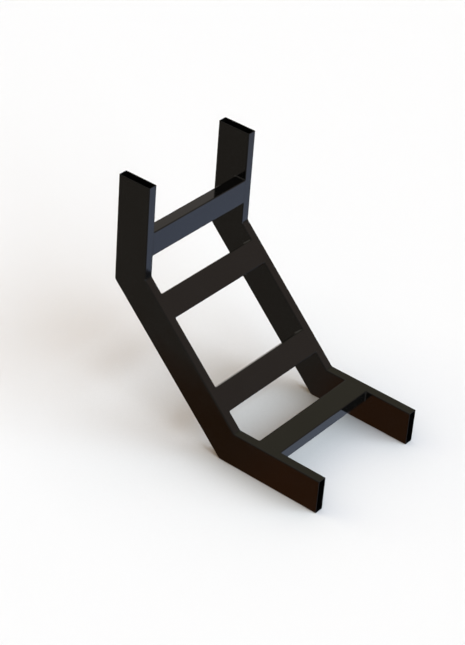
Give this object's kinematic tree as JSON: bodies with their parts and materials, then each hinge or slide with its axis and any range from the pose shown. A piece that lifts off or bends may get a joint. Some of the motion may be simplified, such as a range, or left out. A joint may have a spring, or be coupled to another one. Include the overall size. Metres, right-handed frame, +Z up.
{
  "type": "tailgate step",
  "caption": "Rigid welded ladder-shaped step of flat rectangular tube, with flat feet, a sloped middle, uprights and rungs flush with its front.",
  "frame": {"origin": "on the ground, at the middle of the outline seen from above: halfway between the rails, and halfway between the front ends of the feet and the back of the uprights", "axes": "+Z up; +Y back, from the feet towards the tailgate that the uprights meet; +X to the right of someone who faces the step"},
  "size_m": [0.308, 0.5148, 0.5117],
  "materials": {
    "painted_tube": "gloss",
    "painted_weld": "gloss"
  },
  "bodies": {
    "root": {"left_foot_tube": "painted_tube", "left_middle_tube": "painted_tube", "left_upright_tube": "painted_tube", "left_lower_bend_weld": "painted_weld", "left_upper_bend_weld": "painted_weld", "right_foot_tube": "painted_tube", "right_middle_tube": "painted_tube", "right_upright_tube": "painted_tube", "right_lower_bend_weld": "painted_weld", "right_upper_bend_weld": "painted_weld", "foot_rung_tube": "painted_tube", "foot_rung_left_weld": "painted_weld", "foot_rung_right_weld": "painted_weld", "lower_middle_rung_tube": "painted_tube", "lower_middle_rung_left_weld": "painted_weld", "lower_middle_rung_right_weld": "painted_weld", "upper_middle_rung_tube": "painted_tube", "upper_middle_rung_left_weld": "painted_weld", "upper_middle_rung_right_weld": "painted_weld", "upright_rung_tube": "painted_tube", "upright_rung_left_weld": "painted_weld", "upright_rung_right_weld": "painted_weld"}
  },
  "joints": []
}
